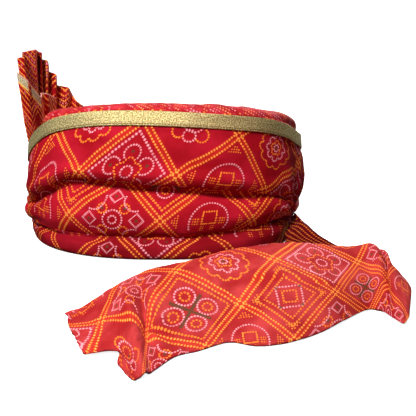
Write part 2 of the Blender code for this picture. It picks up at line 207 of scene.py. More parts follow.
def clothMesh(name, grid, onCloth, tiles=None, motifs=None, roundRows=False, roundColumns=False,
              shadeAndRootPrint=None, border=None):
    # a mesh from a grid of points; onCloth holds (around, up) in metres at every corner of the
    # cloth, tiles the place in the tied pattern, motifs the figure of every tile, the shade values
    # how much painted shade darkens the red (past the root's level, where the root's rows alone
    # show), and border the fold's count and how far below the tip
    rows, columns = grid.shape[:2]
    rowFaces = rows if roundRows else rows - 1
    columnFaces = columns if roundColumns else columns - 1
    r, c = np.meshgrid(np.arange(rowFaces), np.arange(columnFaces), indexing="ij")
    corners = [(r, c), (r + 1, c), (r + 1, c + 1), (r, c + 1)]
    faces = np.stack([(a % rows) * columns + b % columns for a, b in corners], axis=-1)
    mesh = bpy.data.meshes.new(name)
    mesh.from_pydata((grid.reshape(-1, 3) + centre).tolist(), [], faces.reshape(-1, 4).tolist())
    picks = tuple(np.stack(part, axis=-1).reshape(-1) for part in zip(*corners))
    for layerName, places in (("cloth", onCloth), ("tiles", tiles), ("border", border)):
        if places is not None:
            layer = mesh.uv_layers.new(name=layerName)
            layer.data.foreach_set("uv", places[picks].astype(np.float32).ravel())
    if motifs is not None:
        middles = tiles[picks].reshape(-1, 4, 2).mean(axis=1)
        figure = np.repeat(motifs(np.floor(middles)), 4)
        marks = mesh.attributes.new("figure", "FLOAT", "CORNER")
        marks.data.foreach_set("value", figure.astype(np.float32))
    if shadeAndRootPrint is not None:
        deep = mesh.attributes.new("shadeAndRootPrint", "FLOAT", "POINT")
        deep.data.foreach_set("value", shadeAndRootPrint.astype(np.float32).ravel())
    mesh.shade_smooth()
    return addObject(name, mesh)


def faceOut(piece):
    # turns the faces over if they point into the closed shape
    mesh = piece.data
    mesh.calc_loop_triangles()
    count = len(mesh.vertices)
    points = np.empty(count * 3)
    mesh.vertices.foreach_get("co", points)
    points = points.reshape(-1, 3) - centre
    corners = np.empty(len(mesh.loop_triangles) * 3, dtype=int)
    mesh.loop_triangles.foreach_get("vertices", corners)
    a, b, c = points[corners.reshape(-1, 3)].transpose(1, 0, 2)
    if np.einsum("ij,ij->i", a, np.cross(b, c)).sum() < 0:
        mesh.flip_normals()


def onlySelect(piece):
    for item in bpy.context.view_layer.objects:
        item.select_set(False)
    piece.select_set(True)
    bpy.context.view_layer.objects.active = piece


def thicken(piece, thickness):
    # gives a single layer of cloth its two sides
    onlySelect(piece)
    wall = piece.modifiers.new("thickness", "SOLIDIFY")
    wall.thickness = thickness
    wall.offset = 0.0
    wall.use_rim = True
    bpy.ops.object.modifier_apply(modifier=wall.name)


# Finishes
def sumOf(operation):
    def made(self, *others):
        return self.maths(operation, self, *others)
    return made


class Strand:
    # a socket that can be written into sums
    def __init__(self, tree, socket):
        self.tree = tree
        self.socket = socket

    def node(self, kind, settings=None, inputs=None, output=0):
        # any node of a kind: its settings first, then the values or links of its sockets
        made = self.tree.nodes.new(kind)
        for setting, value in (settings or {}).items():
            setattr(made, setting, value)
        for key, value in (inputs or {}).items():
            socket = made.inputs[key]
            if isinstance(value, Strand):
                self.tree.links.new(value.socket, socket)
            else:
                socket.default_value = value
        return Strand(self.tree, made.outputs[output])

    def maths(self, operation, *values):
        return self.node("ShaderNodeMath", {"operation": operation}, dict(enumerate(values)))

    __add__ = __radd__ = sumOf("ADD")
    __sub__ = sumOf("SUBTRACT")
    __mul__ = __rmul__ = sumOf("MULTIPLY")
    __truediv__ = sumOf("DIVIDE")
    __pow__ = sumOf("POWER")
    __abs__ = sumOf("ABSOLUTE")
    part = sumOf("FRACT")
    least = sumOf("MINIMUM")
    most = sumOf("MAXIMUM")
    over = sumOf("GREATER_THAN")
    wave = sumOf("SINE")
    bearing = sumOf("ARCTAN2")

    def __rsub__(self, other):
        return self.maths("SUBTRACT", other, self)

    def isNear(self, value, reach=0.5):
        return self.maths("COMPARE", self, value, reach)

    def fold(self, step):
        # how far this is off the middle of the step that it falls in
        return ((self / step).part() - 0.5) * step

    def noise(self, scale, detail, **more):
        # cloudy values over this place
        return self.node("ShaderNodeTexNoise", {}, {0: self, "Scale": scale, "Detail": detail, **more})

    def soft(self, start, end):
        # from 0 at start to 1 at end
        settings = {"interpolation_type": "SMOOTHSTEP"}
        return self.node("ShaderNodeMapRange", settings, {0: self, 1: start, 2: end})

    def tint(self, under, over):
        # colour under where this is 0, colour over where it is 1
        settings = {"data_type": "RGBA", "clamp_factor": True}
        return self.node("ShaderNodeMix", settings, {0: self, 6: under, 7: over}, output=2)


def colour(red, green, blue):
    return (red, green, blue, 1.0)


def newFinish(name):
    made = bpy.data.materials.new(name)
    made.use_nodes = True
    tree = made.node_tree
    shader = tree.nodes["Principled BSDF"]
    return made, Strand(tree, shader.outputs[0]), shader


def plug(shader, start, **sockets):
    for name, value in sockets.items():
        start.tree.links.new(value.socket, shader.inputs[name.replace("_", " ")])


def dress(shader, hue, relief, roughness, gloss=0.5):
    # the colour, the bumps and the shine of a cloth
    normal = hue.node("ShaderNodeBump", {}, {"Height": relief, "Strength": 1.0, "Distance": 1.0})
    plug(shader, hue, Base_Color=hue, Normal=normal, Roughness=roughness)
    shader.inputs["Specular IOR Level"].default_value = gloss


def weave(u, v):
    # the small relief of the threads
    pace = 2 * math.pi / cloth["thread"]
    return (u * pace).wave() * (v * pace).wave() * cloth["weaveDepth"]


def clothPlace(start, name="cloth"):
    # along, up and both together, from one of the cloth's UV maps
    spot = start.node("ShaderNodeUVMap", {"uv_map": name})
    split = start.node("ShaderNodeSeparateXYZ", {}, {0: spot})
    return split, Strand(start.tree, split.socket.node.outputs[1]), spot


def reachOf(x, y):
    return (x * x + y * y) ** 0.5


def dotRow(across, along, pitch, size):
    # round dots along a line: 1 at a dot's middle, 0 from its halo's edge on
    step = along.fold(pitch)
    return (across * across + step * step).soft((size * cloth["halo"]) ** 2, 0.0)


def joined(masks):
    whole = masks[0]
    for mask in masks[1:]:
        whole = whole.most(mask)
    return whole


cloth = {
    "dot": 0.00088,           # half width of a tied dot
    "fineDot": 0.00077,
    "halo": 1.60,             # a dot's soft edge, in its half widths
    "grain": 0.0022,          # dot to dot in the filled marks
    "grainDot": 0.0006,
    "pitch": 0.0027,          # dot to dot
    "closePitch": 0.0023,     # dot to dot in the small figures
    "rowGap": 0.0022,         # double rows stand this far either side of the line
    "rootRow": 0.0046,        # row to row on the tail's dark root
    "rootShadeAndPrint": 0.55,          # painted shade from which the cloth has the root's rows alone
    "pucker": 0.00022,        # how far a tied point stands up
    "thread": 0.00055,
    "weaveDepth": 0.00004,
    "gloss": 0.06,            # cotton has next to no shine
}
figures = {"flower": 0, "arch": 1, "rosette": 2, "paisley": 3, "cluster": 4, "rings": 5, "squares": 6}


def tiedCloth(name, look):
    # tie-dyed cotton: double rows of dots round tiles, and a dotted figure in every tile
    made, start, shader = newFinish(name)
    s, t, _ = clothPlace(start, "tiles")
    u, v, clothSpot = clothPlace(start, "cloth")
    sideA, sideB = look["sideA"], look["sideB"]
    size, fine, pitch = cloth["dot"], cloth["fineDot"], cloth["pitch"]

    # lines of the lattice
    nearS = ((s + 0.5).part() - 0.5) * sideA     # off the lines that run along t
    nearT = ((t + 0.5).part() - 0.5) * sideB
    pitchA = sideA / round(sideA / pitch)
    pitchB = sideB / round(sideB / pitch)
    rowS = dotRow(abs(nearS) - cloth["rowGap"], t * sideB, pitchB, size)
    rowT = dotRow(abs(nearT) - cloth["rowGap"], s * sideA, pitchA, size)
    # the shade values: painted shade that deepens the red; past the root's level only the root's own
    # rows of dots show
    shadeAndRootPrint = start.node("ShaderNodeAttribute", {"attribute_name": "shadeAndRootPrint"}, output=2)
    dark = shadeAndRootPrint.over(cloth["rootShadeAndPrint"])
    rootRows = dotRow(v.fold(cloth["rootRow"]), u, pitch, fine) * dark
    lines = rowS.most(rowT) * (1.0 - dark)
    between = (abs(nearS).least(abs(nearT))).soft(cloth["rowGap"] * 2.2, cloth["rowGap"] * 0.8)

    # place in the tile: x to the right and y up, and its polar form
    inS, inT = s.part() - 0.5, t.part() - 0.5
    x = (inS - inT) * look["halfWide"]
    y = (inS + inT) * look["halfTall"]
    radius = reachOf(x, y)
    angle = x.bearing(y)          # 0 is up
    kind = start.node("ShaderNodeAttribute", {"attribute_name": "figure"}, output=2)
    side, along = abs(inS).most(abs(inT)), abs(inS).least(abs(inT))
    square, squareAlong = abs(x).most(abs(y)), abs(x).least(abs(y))
    shortSide = min(sideA, sideB)

    def ring(size, count):
        return dotRow(radius - size, angle * size, 2 * math.pi * size / count, fine)

    def ringAt(px, py, size, count):
        # a ring off the middle, with its mirror image where px isn't 0
        dx, dy = abs(x) - px if px else x, y - py
        return dotRow(reachOf(dx, dy) - size, dx.bearing(dy) * size,
                      2 * math.pi * size / count, fine)

    def fourRings(away, size, count):
        return (ringAt(away, 0, size, count) + ringAt(0, away, size, count)
                + ringAt(0, -away, size, count))

    def sector(count, turn=0.0):
        # place in each of count equal sectors, -0.5 to 0.5
        return (angle * (count / (2 * math.pi)) + (0.5 + turn)).part() - 0.5

    def petals(count, reach, size, opening=0.35, turn=0.0):
        # dotted round petals, open towards the middle
        swing = sector(count, turn) * (2 * math.pi / count)
        acrossPetal = radius * swing.wave()
        upPetal = radius * (swing + math.pi / 2).wave() - reach
        run = acrossPetal.bearing(upPetal) * size
        dots = max(5, round(2 * math.pi * size / cloth["closePitch"])) // 2 * 2 + 1
        row = dotRow(reachOf(acrossPetal, upPetal) - size, run, 2 * math.pi * size / dots, fine)
        return row * upPetal.over(-size * opening)

    def blobs(size, *places):
        return joined([((x - px) * (x - px) + (y - py) * (y - py)).soft((size * 1.2) ** 2,
                                                                        (size * 0.7) ** 2)
                       for px, py in places])

    def squareRow(inset, dot=size):
        # a row of dots inside the tile, this share of its side from the middle
        return dotRow((side - inset) * shortSide, along * shortSide, pitch, dot)

    def inTiles(drawn):
        # each figure shows only in the tiles that hold it
        return joined([mask * kind.isNear(figures[name]) for name, mask in drawn.items()])

    inner = squareRow(0.385)
    grains = dotRow(x.fold(cloth["grain"]), y, cloth["grain"], cloth["grainDot"])
    corner = grains * (abs(inS) + abs(inT)).over(0.62) * (1.0 - side.over(0.40))
    diamondAt, ringsAt = 0.0215, 0.0130

    # pink dots
    diamonds = (abs(x) + abs(y - diamondAt)).least(abs(abs(x) - diamondAt) + abs(y))
    smallDiamonds = dotRow(diamonds * 0.7071 - 0.0044, x - y, cloth["closePitch"], fine)
    pink = inTiles({
        "flower": inner + petals(5, 0.0150, 0.0068, 0.72) + ring(0.0048, 13),
        "arch": ring(0.0172, 44) * y.over(-0.0075),
        "rosette": petals(8, 0.0092, 0.0030, 0.2) + ring(0.0030, 8),
        "paisley": ringAt(0, 0.004, 0.0092, 22) + ringAt(0, -0.009, 0.0052, 13),
        "cluster": (smallDiamonds + ring(0.0086, 22) + ring(0.0036, 10)
                    + petals(4, 0.0265, 0.0105, 1.1, 0.5) * (1.0 - radius.over(0.0240))),
        "rings": fourRings(ringsAt, 0.0076, 21),
        "squares": dotRow(square - 0.0100, squareAlong, 0.0025, fine),
    })

    # orange figures
    points = abs(sector(5)) * 0.0070
    star = dotRow(radius - 0.0122 + points, angle * 0.0105, 2 * math.pi * 0.0105 / 26, fine)
    box = dotRow(abs(x).most(abs(y - 0.004) * 1.15) - 0.0062, squareAlong, cloth["closePitch"], fine)
    bars = grains * abs(abs(x) - 0.0112).soft(0.0036, 0.0028) * abs(y - 0.001).soft(0.0042, 0.0034)
    feet = grains * abs(abs(x) - 0.0052).soft(0.0024, 0.0018) * abs(y + 0.0055).soft(0.0026, 0.0020)
    orange = inTiles({
        "flower": star,
        "arch": box + bars + feet + corner * y.over(-0.010),
        "rosette": petals(11, 0.0150, 0.0046, -0.1) + petals(5, 0.0042, 0.0026, 0.2),
        "paisley": ringAt(0, 0.004, 0.0050, 12) + petals(3, 0.0110, 0.0060, 0.3),
        "cluster": ringAt(0.0100, 0.0100, 0.0042, 11) + ringAt(0.0100, -0.0100, 0.0042, 11),
        "rings": inner + fourRings(ringsAt, 0.0036, 9),
        "squares": (squareRow(0.345) + squareRow(0.255, fine)
                    + dotRow(square - 0.0055, squareAlong, 0.0025, fine) + corner),
    })

    # olive marks
    leaf = sector(5) * 0.0200
    petalDots = (radius - 0.0165) * (radius - 0.0165) + leaf * leaf
    middle = blobs(0.0014, (0, 0))
    olive = inTiles({
        "flower": petalDots.soft(0.0000022, 0.0000008),
        "rosette": middle,
        "paisley": middle,
        "cluster": (blobs(0.0014, (0, diamondAt), (diamondAt, 0), (-diamondAt, 0))
                    + blobs(0.0013, (0.0100, 0.0100), (-0.0100, 0.0100))),
        "rings": along.soft(0.028, 0.018) * (1.0 - side.over(0.30)),
        "squares": blobs(0.0013, *((px, py) for px in (0.0093, -0.0093) for py in (0.0093, -0.0093))),
    })

    # ground colour with the soft clouds of the dye, then painted shade
    clouds = clothSpot.noise(28.0, 3.0, Roughness=0.55)
    specks = clothSpot.noise(900.0, 2.0)
    ground = clouds.soft(0.35, 0.68).tint(look["ground"], look["groundLight"])
    ground = (between * 0.30).tint(ground, look["warm"])
    ground = (specks.soft(0.55, 0.8) * 0.35).tint(ground, look["groundLight"])
    ground = shadeAndRootPrint.tint(ground, look["paintedShadeRed"])
    wear = clothSpot.noise(170.0, 2.0)
    fade = (specks.soft(0.10, 0.60) * 0.25 + 0.75) * (wear.soft(0.30, 0.55) * 0.40 + 0.60)
    orange, pink = (orange * (1.0 - dark)).most(rootRows), pink * (1.0 - dark)
    orangeDots = lines.most(orange)
    hue = ground
    for mask, shade in ((orangeDots.soft(0.02, 0.55) * 0.70, "warm"),
                        (orangeDots.soft(0.45, 0.80) * fade, "dot"),
                        (lines.soft(0.70, 0.98) * fade * 0.6, "dotLight"),
                        (pink.soft(0.05, 0.45) * 0.45, "pinkHalo"),
                        (pink.soft(0.42, 0.78) * fade, "pink"),
                        # painted shade laid over the dots as well
                        (olive * 0.8, "olive"), (shadeAndRootPrint * 0.45, "paintedShadeRed")):
        hue = mask.tint(hue, look[shade])

    # threads, the tied points' small puckers and soft creases
    creases = clothSpot.noise(60.0, 4.0, Roughness=0.6, Distortion=0.6)
    puckers = joined([lines, orange, pink]).soft(0.1, 0.9)
    relief = weave(u, v) + puckers * cloth["pucker"] + creases * look["creases"]
    dress(shader, hue, relief, specks * 0.2 + 0.62, cloth["gloss"])
    return made


wrapLook = {
    "sideA": 0.066, "sideB": 0.053, "halfWide": 0.042, "halfTall": 0.042,
    "ground": colour(0.350, 0.003, 0.009), "groundLight": colour(0.490, 0.008, 0.024),
    # the deep red on the next line is painted shade
    "paintedShadeRed": colour(0.090, 0.001, 0.003), "warm": colour(0.76, 0.045, 0.006),
    "dot": colour(1.00, 0.27, 0.035), "dotLight": colour(1.00, 0.46, 0.10),
    "pink": colour(0.92, 0.36, 0.40), "pinkHalo": colour(0.62, 0.05, 0.09),
    "olive": colour(0.07, 0.050, 0.02), "creases": 0.0006,
}
# the tail's ground is the wraps' red made pinker and a little lighter: painted sheen on the tail,
# which lies open to the lamps
tailLook = dict(
    wrapLook, sideA=0.058, sideB=0.057, halfWide=0.040, halfTall=0.040,
    ground=colour(0.350, 0.012, 0.014), groundLight=colour(0.520, 0.042, 0.042),
    creases=0.0009)
wrapFinish = tiedCloth("wrap_tied_cotton", wrapLook)
tailFinish = tiedCloth("tail_tied_cotton", tailLook)
print("cloth finishes made")


# The wraps
azimuths = turban["seamAzimuth"] + np.linspace(0.0, 360.0, turban["stations"] + 1)
walls = planPoint(azimuths, 0.95, 0.95, np.zeros_like(azimuths))
aroundFull = runLength(walls[:, None], 0)[:, 0]
around = aroundFull - np.interp(-90.0, azimuths, aroundFull)     # 0 in the middle of the shown side

seamRows = ((0.0, 0.0), (0.45, 0.45), (0.84, 0.84))
# Rows of points up the wraps' faces: shares of the end wall and the side wall, then how far up
faceRows = {
    "lower": ((0.785, 1.08, 0.12), (0.810, 1.09, 0.36), (0.815, 1.05, 0.62), (0.82, 0.95, 0.86)),
    "middle": ((0.82, 0.94, 0.08), (0.910, 1.02, 0.30), (0.970, 1.02, 0.60), (0.95, 0.96, 0.86)),
    "upper": ((0.89, 0.91, -0.01), (0.935, 0.955, 0.10), (0.945, 0.970, 0.30),
              (0.932, 0.955, 0.56), (0.900, 0.915, 0.82)),
}
lowerFoot = ((0.0, 0.0), (0.38, 0.43), (0.75, 0.97))
# Steps from each row of points to the next, round each wrap's section
sectionCuts = {
    "lower": (3, 4, 6, 12, 14, 12, 8, 4, 3, 6),
    "middle": (3, 4, 8, 14, 16, 14, 8, 4, 3, 6),
    "upper": (3, 4, 8, 12, 18, 20, 18, 8, 4, 4, 3, 3, 6, 8),
}
ribbonSeat = ((0.860, 0.870, 0.0), (0.848, 0.860, 0.5), (0.836, 0.850, 1.0))

# How far the upper band's loose edge is drawn up on the shown side: azimuth, rise
hemRise = ((-200.0, 0.0), (-180.0, 0.0050), (-150.0, 0.0070), (-120.0, 0.0080), (-90.0, 0.0088),
           (-70.0, 0.0088), (-50.0, 0.0060), (-35.0, 0.0010), (-20.0, -0.0020), (0.0, 0.0))
# How far the cloth gives way round that edge
hemFold = {
    "middleTop": 0.0088, "middleFace": 0.0030, "lowerTop": 0.0040,
    "over": -0.0030, "edge": 0.0004, "drop": 0.0010,
}
# Where the wraps' folds run together: azimuth, height, depth, reach, count, turn
gatherPlaces = (
    (turban["pinchAzimuth"] - 6.0, 0.024, 0.0023, 0.050, 11, 0.0),
    (-172.0, 0.036, 0.0016, 0.040, 7, 1.0),
)
# Soft waves over the wraps: their lengths and depths
broadWaves = ((0.11, 0.0012), (0.045, 0.0005), (0.020, 0.00018))
fineWaves = ((0.016, 0.00035), (0.009, 0.00018))
# Between which the waves fade in: shares of the wall, depths under the band's top, heights
wavesIn = {"wall": (0.80, 0.93), "underTop": (0.020, 0.0145), "offFloor": (0.001, 0.006)}
broadSeeds = {"lower": 3, "middle": 5, "upper": 8}
fineSeeds = {"lower": 13, "middle": 15, "upper": 18}


def seamPoints(piece, shift):
    points = []
    rise = np.interp(azimuths, *np.transpose(hemRise)) if piece == "middle" else 0.0
    for endShare, sideShare in seamRows:
        height = heightAt(azimuths, piece) - (turban["lap"] - rise) * endShare**2 + shift
        out = pinchAt(azimuths, height) * endShare
        points.append(planPoint(azimuths, endShare, sideShare, height, out))
    return points


def facePoints(rows, bottom, top):
    points = []
    for endShare, sideShare, up in rows:
        height = bottom + (top - bottom) * up
        points.append(planPoint(azimuths, endShare, sideShare, height, pinchAt(azimuths, height)))
    return points


def hem(azimuth):
    # 1 where the upper band laps loosely over the middle roll
    return ramp(azimuth, -168, -150) * (1.0 - ramp(azimuth, -62, -30))


def seatPoints(out):
    top = heightAt(azimuths, "upper") - ribbon["edge"]
    return [planPoint(azimuths, endShare, sideShare, top - ribbon["width"] * (1.0 - up), out)
            for endShare, sideShare, up in ribbonSeat]


ribbon = {
    "width": 0.013,
    "edge": 0.0012,
    "thickness": 0.0009,
    "rib": 0.0011,            # thread to thread along the ribbon
    "weft": 0.0009,           # and up it
    "stitch": 0.0026,
    "stitchLine": 0.00169,    # above the lower edge
    "rows": 13,
}
halfGap = turban["gap"] / 2

foot = [planPoint(azimuths, a, b, 0.0, pinchAt(azimuths, 0.0) * a) for a, b in lowerFoot]
lowerSeam = seamPoints("lower", -halfGap)
sections = {}
sections["lower"] = (foot + facePoints(faceRows["lower"], 0.0, lowerSeam[-1][:, 2])
                     + lowerSeam[::-1])
bottom, top = seamPoints("lower", halfGap), seamPoints("middle", -halfGap)
sections["middle"] = (bottom + facePoints(faceRows["middle"], bottom[-1][:, 2], top[-1][:, 2])
                      + top[::-1])


def drawIn(points, depth):
    # moves one line of a wrap in (or out, where depth is below 0) under the loose hem
    points[:, :2] *= 1.0 - (depth * hem(azimuths) / np.linalg.norm(walls[:, :2], axis=-1))[:, None]


drawIn(sections["middle"][6], hemFold["middleTop"])
drawIn(sections["middle"][5], hemFold["middleFace"])
drawIn(sections["lower"][6], hemFold["lowerTop"])
bottom, seat = seamPoints("middle", halfGap), seatPoints(0.0)
rimTop = heightAt(azimuths, "upper")
trough = [planPoint(azimuths, a, b, rimTop - deep)
          for a, b, deep in ((0.820, 0.825, 0.0), (0.785, 0.790, 0.006), (0.0, 0.0, 0.006))]
face = facePoints(faceRows["upper"], bottom[-1][:, 2], seat[0][:, 2])
drawIn(face[1], hemFold["over"])
drawIn(face[0], hemFold["edge"])
face[0][:, 2] -= hemFold["drop"] * hem(azimuths)
sections["upper"] = bottom + face + seat + trough


def gathers(grid, u, azimuth, height, depth, reach, count, turn):
    # folds that run together at one place, as where the wraps are tied in
    du, dz = u - np.interp(azimuth, azimuths, around), grid[..., 2] - height
    away = np.hypot(du, dz)
    angle = np.arctan2(dz, du)
    fade = np.exp(-((away / reach) ** 2)) * ramp(away, 0.0, 0.012)
    return depth * fade * np.sin(angle * count + turn + away * 60.0)


def wrapGrid(piece):
    grid = closedSection(np.stack(sections[piece], axis=1), sectionCuts[piece])
    u = around[:, None] + np.zeros(grid.shape[:2])
    z = grid[..., 2]
    normals = facing(grid)
    outward = np.sign(np.sum(normals[..., :2] * grid[..., :2], axis=-1, keepdims=True))
    normals = normals * np.where(np.abs(outward) > 0, outward, 1.0)
    plan = np.linalg.norm(grid[..., :2], axis=-1)
    wall = np.linalg.norm(walls[:, :2], axis=-1)[:, None]
    face = ramp(plan / wall, *wavesIn["wall"])         # only the outer face is sculpted
    if piece == "upper":
        first, last = ((rimTop - deep)[:, None] for deep in wavesIn["underTop"])
        face = face * (1.0 - ramp(z, first, last))
    if piece == "lower":
        face = face * ramp(z, *wavesIn["offFloor"])
    lift = sum(gathers(grid, u, *place) for place in gatherPlaces)
    lift += ripples(broadSeeds[piece], u, z * 1.6, broadWaves)
    lift += ripples(fineSeeds[piece], u * 0.35, z, fineWaves)
    grid = grid + normals * (lift * face)[..., None]
    grid[..., 2] = np.maximum(grid[..., 2], 0.0)
    return grid


def clothRound(grid):
    # metres along and up the cloth of a closed roll
    up = runLength(np.concatenate((grid, grid[:, :1]), axis=1), 1)
    return np.stack((around[:, None] + np.zeros(up.shape), up), axis=-1)


def wrapPiece(piece, name, layout):
    grid = wrapGrid(piece)
    clothAt = clothRound(grid)
    # painted shade over the whole wrap, as much as its layout gives
    shadeAndRootPrint = layout["shadeAndRootPrint"] * np.ones(grid[:-1].shape[:2])
    made = clothMesh(name, grid[:-1], clothAt, tilesAt(clothAt, layout), figureTable(layout),
                     roundRows=True, roundColumns=True, shadeAndRootPrint=shadeAndRootPrint)
    faceOut(made)
    made.data.materials.append(wrapFinish)
    return made


def tilesAt(clothAt, layout):
    # from metres on the cloth to the pattern's own squares; the bends fade out behind, and
    # the pattern meets itself at the seam
    u, v = clothAt[..., 0], clothAt[..., 1]
    reach = layout["reach"]
    bent = np.clip(u, -reach, reach)
    fade = 1.0 - ramp(np.abs(u), reach, reach * 1.8)
    whole = float(np.ptp(around))
    tiles = []
    for start, alongU, alongV, bendU, bendUV in (layout["s"], layout["t"]):
        spot = start + alongU * u + alongV * v + bendU * bent * bent + bendUV * bent * v * fade
        slack = round(alongU * whole) - alongU * whole
        spot = spot + slack / whole * np.sign(u) * np.clip(np.abs(u) - reach, 0, None) * (
            whole / (whole - 2 * reach))
        tiles.append(spot)
    return np.stack(tiles, axis=-1)


def figureTable(layout):
    def pick(tiles):
        i, j = tiles[:, 0], tiles[:, 1]
        kinds = (i * 2 + j * 3 + layout["start"]) % 5
        for (a, b), figure in layout["figures"].items():
            kinds[(i == a) & (j == b)] = figures[figure]
        return kinds
    return pick


# How the pattern lies on each wrap: s and t count the tiles up to the right and up to the left,
# from a start, along u, along v, and bending with u * u and u * v
wrapLayouts = {
    "lower": {"s": (0.70, 13.5, 10.9, 3.0, -28.0), "t": (-1.51, -11.25, 12.6, 25.5, 0.0),
              # the lower roll gets painted shade, where it turns under the middle roll
              "reach": 0.15, "start": 1, "shadeAndRootPrint": 0.40,
              "figures": {(0, -1): "cluster", (1, -1): "flower", (1, -2): "rosette",
                          (2, -2): "arch", (0, 0): "arch", (-1, 0): "paisley"}},
    "middle": {"s": (0.47, 13.6, 9.85, 1.0, -21.9),
               "t": (-1.73, -12.5, 13.7, 4.1, 23.6), "reach": 0.14, "start": 3, "shadeAndRootPrint": 0.0,
               "figures": {(0, -1): "cluster", (0, 0): "squares", (-1, 0): "arch",
                           (1, -1): "rings", (1, -2): "arch", (2, -2): "squares",
                           (2, -3): "rosette"}},
    "upper": {"s": (0.472, 11.9, 6.9, 7.5, -1.7),
              "t": (-1.604, -12.56, 14.8, 9.4, 16.2), "reach": 0.15, "start": 0, "shadeAndRootPrint": 0.0,
              "figures": {(0, -1): "flower", (0, 0): "rosette", (-1, 0): "arch",
                          (1, -1): "paisley", (1, -2): "arch", (2, -2): "rosette",
                          (2, -3): "flower", (-1, 1): "paisley", (0, -2): "cluster"}},
}
for piece, name in (("lower", "lower_wrap_roll"), ("middle", "middle_wrap_roll"),
                    ("upper", "upper_wrap_band")):
    made = wrapPiece(piece, name, wrapLayouts[piece])
    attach(made, "root")
    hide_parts(piece + "_wrap")
print("wraps made")


# Gold ribbon
def ribbonFinish():
    # metallic braid, with a row of stitches near its lower edge
    made, start, shader = newFinish("gold_braid")
    u, v, spot = clothPlace(start)
    rib = (u * (2 * math.pi / ribbon["rib"])).wave()
    cross = (v * (2 * math.pi / ribbon["weft"])).wave()
    glints, broad = spot.noise(800.0, 3.0), spot.noise(240.0, 3.0)
    gold = glints.soft(0.38, 0.60).tint(colour(0.46, 0.30, 0.08), colour(1.00, 0.88, 0.44))
    gold = (broad.soft(0.45, 0.7) * 0.35).tint(gold, colour(0.55, 0.50, 0.22))
    stitches = abs(v - ribbon["stitchLine"]).soft(0.0007, 0.0003)
    stitches = stitches * (u / ribbon["stitch"]).part().soft(0.80, 0.70)
    gold = (stitches * 0.75).tint(gold, colour(0.22, 0.10, 0.02))
    edge = abs(v - ribbon["width"] * 0.5).soft(ribbon["width"] * 0.455, ribbon["width"] * 0.49)
    gold = (edge * 0.6).tint(gold, colour(0.30, 0.16, 0.03))
    relief = rib * cross * 0.00010 + glints * 0.0005 - stitches * 0.0003
    dress(shader, gold, relief, glints * 0.25 + 0.36)
    shader.inputs["Metallic"].default_value = 0.85
    return made


def makeRibbon():
    rows = np.stack(seatPoints(turban["gap"] + ribbon["thickness"] / 2), axis=1)
    places = np.linspace(0.0, 2.0, ribbon["rows"])
    grid = curveThrough(rows.transpose(1, 0, 2), places).transpose(1, 0, 2)
    up = np.linspace(0.0, ribbon["width"], ribbon["rows"])
    wobble = ripples(21, around[:, None], up[None] * 2, ((0.06, 0.0004), (0.02, 0.00018)))
    grid = grid + facing(grid) * wobble[..., None]
    clothAt = np.stack(np.broadcast_arrays(around[:, None], up[None]), axis=-1)
    made = clothMesh("ribbon_band", grid[:-1], clothAt, roundRows=True)
    thicken(made, ribbon["thickness"])
    faceOut(made)
    made.data.materials.append(ribbonFinish())
    middle = ribbon["rows"] // 2
    length = float(runLength(grid[:, middle:middle + 1], 0)[-1, 0])
    return made, length


ribbonBand, ribbonLength = makeRibbon()
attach(ribbonBand, "root")
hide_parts("gold_ribbon")
print("ribbon made, length", round(ribbonLength, 3))

# Rim roll
rim = {
    "section": ((0.06, 0.06, 0.00), (0.62, 0.62, 0.00), (0.72, 0.71, 0.34), (0.72, 0.65, 0.76),
                (0.48, 0.45, 1.00), (0.20, 0.20, 0.90), (0.06, 0.06, 0.45)),
    "sink": 0.006,
    "narrow": 0.55,
    "fade": 14.0,
    "rowGap": 0.0042,         # between the slanting rows of dots
    "pitch": 0.0030,
    "dot": 0.0008,
}
fan = {
    "from": 137.0,
    "to": 198.0,
    "height": 0.100,
    "lean": 0.012,
    "depth": 0.0045,          # half depth of the pleats at their tips
    "bow": 0.0025,
    "gather": 0.0014,
    "clear": 0.0007,
    "margin": 0.04,
    "thickness": 0.0012,
    "rows": 56,
    "border": 0.0105,         # width of the gold border
    "chevron": 0.026,
    "rowGap": 0.0062,
}
pleatRings = np.array(((0.0, 0.0), (0.12, 1.0), (0.38, 0.9), (0.68, 0.5), (1.0, 0.0)))


def besideFan(azimuth):
    # 1 where the fan stands, and the rim is narrow
    turned = azimuth % 360.0
    rise = np.clip((turned - fan["from"] + rim["fade"]) / rim["fade"], 0.0, 1.0)
    fall = np.clip((fan["to"] + rim["fade"] - turned) / rim["fade"], 0.0, 1.0)
    return np.minimum(rise, fall)


def rimFinish():
    made, start, shader = newFinish("rim_tied_cotton")
    u, v, spot = clothPlace(start)
    ground, patch = spot.noise(60.0, 3.0), spot.noise(75.0, 1.0)
    slant = u * 0.6 + v
    dots = dotRow(slant.fold(rim["rowGap"]), u - v * 0.6, rim["pitch"], rim["dot"]).soft(0.35, 0.7)
    hue = ground.soft(0.35, 0.7).tint(colour(0.40, 0.010, 0.016), colour(0.60, 0.040, 0.055))
    hue = (dots * patch.soft(0.50, 0.56)).tint(hue, colour(1.0, 0.34, 0.12))
    hue = (dots * patch.soft(0.45, 0.38) * 0.85).tint(hue, colour(0.95, 0.42, 0.45))
    dress(shader, hue, ground * 0.0012 + dots * 0.0002, ground * 0.2 + 0.6, cloth["gloss"])
    return made


